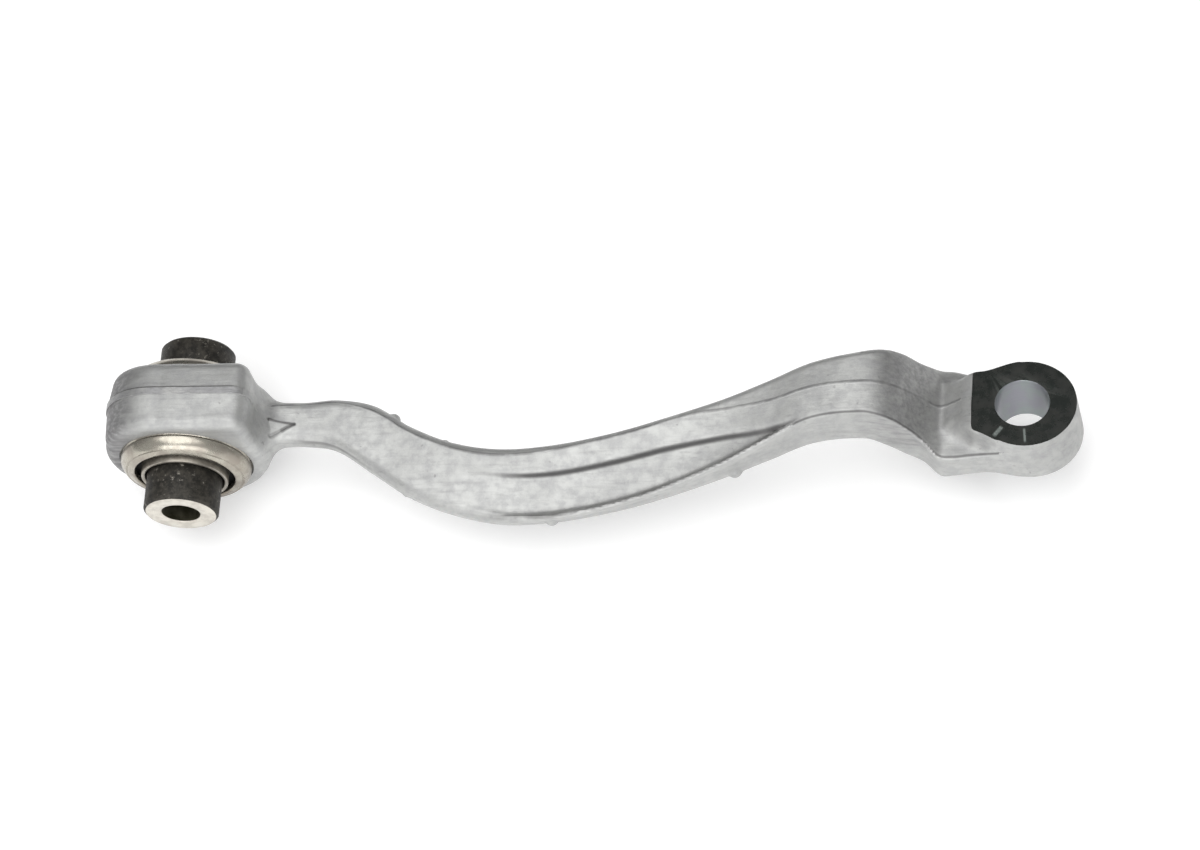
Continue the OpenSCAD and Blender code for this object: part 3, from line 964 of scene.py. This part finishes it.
def bolt_bore_material():
    """Inner sleeve's bore: oiled dark steel."""
    g = Graph("bolt_bore")
    film = g.noise(4, 4, 0.6, shift=15)
    colour = g.mix(g.spread(film, 0.35, 0.65), (0.040, 0.038, 0.022), (0.085, 0.080, 0.055))
    return g.set(
        Base_Color=colour, Metallic=0.6, Roughness=g.spread(film, 0.3, 0.7, 0.36, 0.52),
        Normal=g.bump(film, 0.02))


def rubber_material():
    """Moulded natural rubber: near-black, matte, with a bloom of dust."""
    g = Graph("bush_rubber")
    bloom = g.noise(4, 5, 0.65, shift=16)
    fine = g.noise(0.5, 3, 0.6, shift=18)
    colour = g.mix(g.spread(bloom, 0.45, 0.75), (0.011, 0.011, 0.0105), (0.030, 0.028, 0.025))
    return g.set(
        Base_Color=colour, Roughness=g.spread(bloom, 0.3, 0.7, 0.58, 0.78),
        Normal=g.bump(fine, 0.05))


# ------------ the bush
SLEEVE_BOX = {
    name: [[c / MM for c in corner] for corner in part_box(name)]
    for name in ("outer_sleeve", "middle_sleeve", "inner_sleeve")}
OUTER_WALL, MIDDLE_WALL, CORE_WAIST = 2.4, 1.4, 11.3
# The rubber stops this far short of the sleeves that it is bonded to
BOND_GAP = 0.03


def sleeve_size(name):
    """Outside radius and half the length of a sleeve, from the frame."""
    low, high = SLEEVE_BOX[name]
    return high[0], (high[1] - low[1]) / 2


def mirrored(half):
    """A whole ring's outline from its upper half, given from the outer side round to the bore."""
    return [*half, *((r, -y) for r, y in reversed(half) if y > 0)]


def ring_piece(name, half, body, materials, replaced, segments=224, angle=30):
    """A lathed ring from the upper half of its outline, riding on its body if it has one."""
    obj = lathe(name, mirrored(half), segments)
    for material in materials:
        obj.data.materials.append(material)
    sharpen(obj.data, angle)
    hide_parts(replaced)
    if body:
        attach(obj, body)
    return obj


def outer_sleeve():
    """The housing's sleeve, with both ends rolled in over the rubber."""
    radius, half = sleeve_size("outer_sleeve")
    lip_r, lip_round, neck, roll = 18.35, 0.75, 12.6, 5.4
    cx, cy = radius - roll - 0.05, half - roll - 0.02
    rolled = arc_points(cx, cy, roll, 0, 56, 12)
    side = [
        (radius, 0), (radius, neck), (radius - 0.55, neck + 0.7), (radius - 0.5, cy - 0.5),
        (radius - 0.12, cy - 0.1), *rolled]
    step_r, step_y = rolled[-1]
    band = [
        (step_r - 0.12, step_y - 0.10), (step_r - 0.42, step_y - 0.12),
        (step_r - 0.60, step_y + 0.14), (19.7, half - 0.14)]
    mouth = [
        *arc_points(lip_r + lip_round, half - lip_round, lip_round, 90, 180, 5),
        (lip_r, half - 2.0)]
    under = [
        (lip_r + 0.5, half - 2.6), (lip_r + 2.2, half - 3.3), (radius - OUTER_WALL, half - 4.0),
        (radius - OUTER_WALL, 0.0)]
    sleeve = ring_piece(
        "rolled_outer_sleeve", side + band + mouth + under, "link",
        [outer_steel_material()], "outer_sleeve")
    low, high = SLEEVE_BOX["outer_sleeve"]
    sleeve.data.transform(Matrix.Translation((0, (low[1] + high[1]) / 2 * MM, 0)))


def middle_sleeve():
    """The thin sleeve between the two layers of rubber, with eased edges."""
    radius, half = sleeve_size("middle_sleeve")
    inner = radius - MIDDLE_WALL
    outline = [
        (radius, 0), (radius, half - 0.5), (radius - 0.12, half - 0.15), (radius - 0.4, half),
        (inner + 0.4, half), (inner + 0.1, half - 0.15), (inner, half - 0.5), (inner, 0.0)]
    ring_piece(
        "drawn_middle_sleeve", outline, "bush_middle",
        [middle_steel_material()], "middle_sleeve")


def inner_sleeve():
    """The sleeve for the bolt: waisted under the rubber, with faced ends and a chamfered bore."""
    radius, half = sleeve_size("inner_sleeve")
    waist, shoulder, bore = CORE_WAIST, 15.0, MOUNTS["bolt_bore"]["dims"]["r_mm"]
    chamfer, bore_chamfer = 0.9, 0.4
    outline = [
        (waist, 0), (waist, shoulder), (waist + 0.9, shoulder + 1.5),
        (radius - 0.35, shoulder + 3.2), (radius, shoulder + 4.0),
        (radius, half - chamfer - 0.25), (radius - 0.12, half - chamfer),
        (radius - chamfer, half - 0.10), (radius - chamfer - 0.2, half),
        (bore + bore_chamfer + 0.15, half), (bore + bore_chamfer, half - 0.06),
        (bore, half - bore_chamfer), (bore, 0.0)]
    sleeve = ring_piece(
        "coated_inner_sleeve", outline, "bush_core",
        [coated_material(), faced_material(), bolt_bore_material()], "inner_sleeve")
    faced_from = half - 0.3
    for face in sleeve.data.polygons:
        x, y, z = (c / MM for c in face.center)
        if abs(y) > faced_from:
            face.material_index = 1
        elif math.hypot(x, z) < bore + bore_chamfer / 3:
            face.material_index = 2


def rubber_ring(name, inner, outer, half, hollow, replaced, material):
    """A lathed rubber ring, its ends hollowed between its outside and its bore."""
    steps, fullness = 12, 0.7
    ends = []
    for k in range(steps + 1):
        share = k / steps
        dip = hollow * math.sin(math.pi * share) ** fullness
        ends.append((outer + (inner - outer) * share, half - dip))
    ring = ring_piece(
        name, [(outer, 0), *ends, (inner, 0.0)], None, [material], replaced,
        segments=192, angle=60)
    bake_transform(ring)
    x, _, z = vectors(ring.data.vertices, "co").T / MM
    share = np.clip((outer - np.hypot(x, z)) / (outer - inner), 0, 1)


def make_bush():
    """The bush: three sleeves, and the two rings of rubber between them."""
    outer_sleeve()
    middle_sleeve()
    inner_sleeve()
    rubber = rubber_material()
    sleeve_bore = sleeve_size("outer_sleeve")[0] - OUTER_WALL
    middle_r = sleeve_size("middle_sleeve")[0]
    rubber_ring(
        "outer_bush_rubber", middle_r + BOND_GAP, sleeve_bore - BOND_GAP, half=14.4, hollow=1.5,
        replaced="outer_rubber", material=rubber)
    rubber_ring(
        "inner_bush_rubber", CORE_WAIST + BOND_GAP, middle_r - MIDDLE_WALL - BOND_GAP,
        half=14.6, hollow=1.2,
        replaced="inner_rubber", material=rubber)


# ------------ stage
def make_floor():
    """A wide pale floor, a little below the part's lowest point."""
    reach, drop, steps = 4.0, 0.0004, 8
    ticks = [(i / steps - 0.5) * 2 * reach / MM for i in range(steps + 1)]
    points = [(x, y, (cad_box[0][2] - drop) / MM) for x in ticks for y in ticks]
    corners = [i * (steps + 1) + j for i in range(steps) for j in range(steps)]
    faces = [(a, a + steps + 1, a + steps + 2, a + 1) for a in corners]
    floor = mesh_object("floor", points, faces)
    floor.data.materials.append(Graph("pale_floor").set(
        Base_Color=(0.86, 0.86, 0.86, 1), Roughness=0.9, Emission_Color=(1, 1, 1, 1),
        Emission_Strength=0.22))


def area_light(name, place, aim, size, power):
    """A soft rectangular light that faces a point, in metres and watts."""
    data = bpy.data.lights.new(name, "AREA")
    data.shape = "RECTANGLE"
    data.size, data.size_y = size
    data.energy = power
    light = bpy.data.objects.new(name, data)
    bpy.context.scene.collection.objects.link(light)
    light.location = place
    light.rotation_euler = (Vector(place) - Vector(aim)).to_track_quat("Z", "Y").to_euler()


def make_lights():
    """A wide soft box above the part, a lower one in front of it, and a sky that darkens
    behind it."""
    aim = (LINK_LENGTH / 2 * MM, 0, 0)
    area_light("overhead", (0.0, -0.08, 1.9), aim, (2.4, 2.2), 35)
    area_light("front", (0.1, -1.7, 0.75), aim, (2.0, 1.0), 18)
    world = bpy.data.worlds.new("studio")
    bpy.context.scene.world = world
    world.use_nodes = True
    tree = world.node_tree
    place = tree.nodes.new("ShaderNodeTexCoord").outputs["Generated"]
    along = tree.nodes.new("ShaderNodeVectorMath")
    along.operation = "DOT_PRODUCT"
    tree.links.new(place, along.inputs[0])
    along.inputs[1].default_value = Vector((0.0, -0.80, 0.55)).normalized()
    level = tree.nodes.new("ShaderNodeMapRange")
    level.interpolation_type = "SMOOTHSTEP"
    for key, value in {"From Min": -0.7, "From Max": 0.7, "To Min": 0.06, "To Max": 0.55}.items():
        level.inputs[key].default_value = value
    tree.links.new(along.outputs["Value"], level.inputs["Value"])
    sky = tree.nodes["Background"]
    tree.links.new(level.outputs[0], sky.inputs["Strength"])
    sky.inputs["Color"].default_value = (1, 1, 1, 1)


def make_camera():
    """The camera looks at the middle of the link, from above and in front of it."""
    back = Vector((0.165, -0.4285, 0.8875)).normalized()
    up = Vector((0.015, 0.901, 0.432))
    right = up.cross(back).normalized()
    up = back.cross(right)
    distance, across, above = 1.4479, 0.0001, 0.0004
    aim = Vector((LINK_LENGTH / 2 * MM + across, 0, 0)) + up * above
    data = bpy.data.cameras.new("camera")
    data.lens = 120
    data.sensor_width = 36
    data.clip_start, data.clip_end = 0.05, 30
    camera = bpy.data.objects.new("camera", data)
    bpy.context.scene.collection.objects.link(camera)
    turn = Matrix((right, up, back)).transposed().to_4x4()
    camera.matrix_world = Matrix.Translation(aim + back * distance) @ turn
    bpy.context.scene.camera = camera


# ------------ make the scene
make_camera()
link = make_forging()
forging_marks(link.data)
link.data.materials.clear()
for finish in (forged_material(), milled_material(), bored_material(), sheared_material()):
    link.data.materials.append(finish)
sharpen(link.data, 32)
forging_faces(link.data)
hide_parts("arm")
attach(link, "link")
make_bush()
make_floor()
make_lights()
bpy.context.scene.view_settings.view_transform = "Standard"
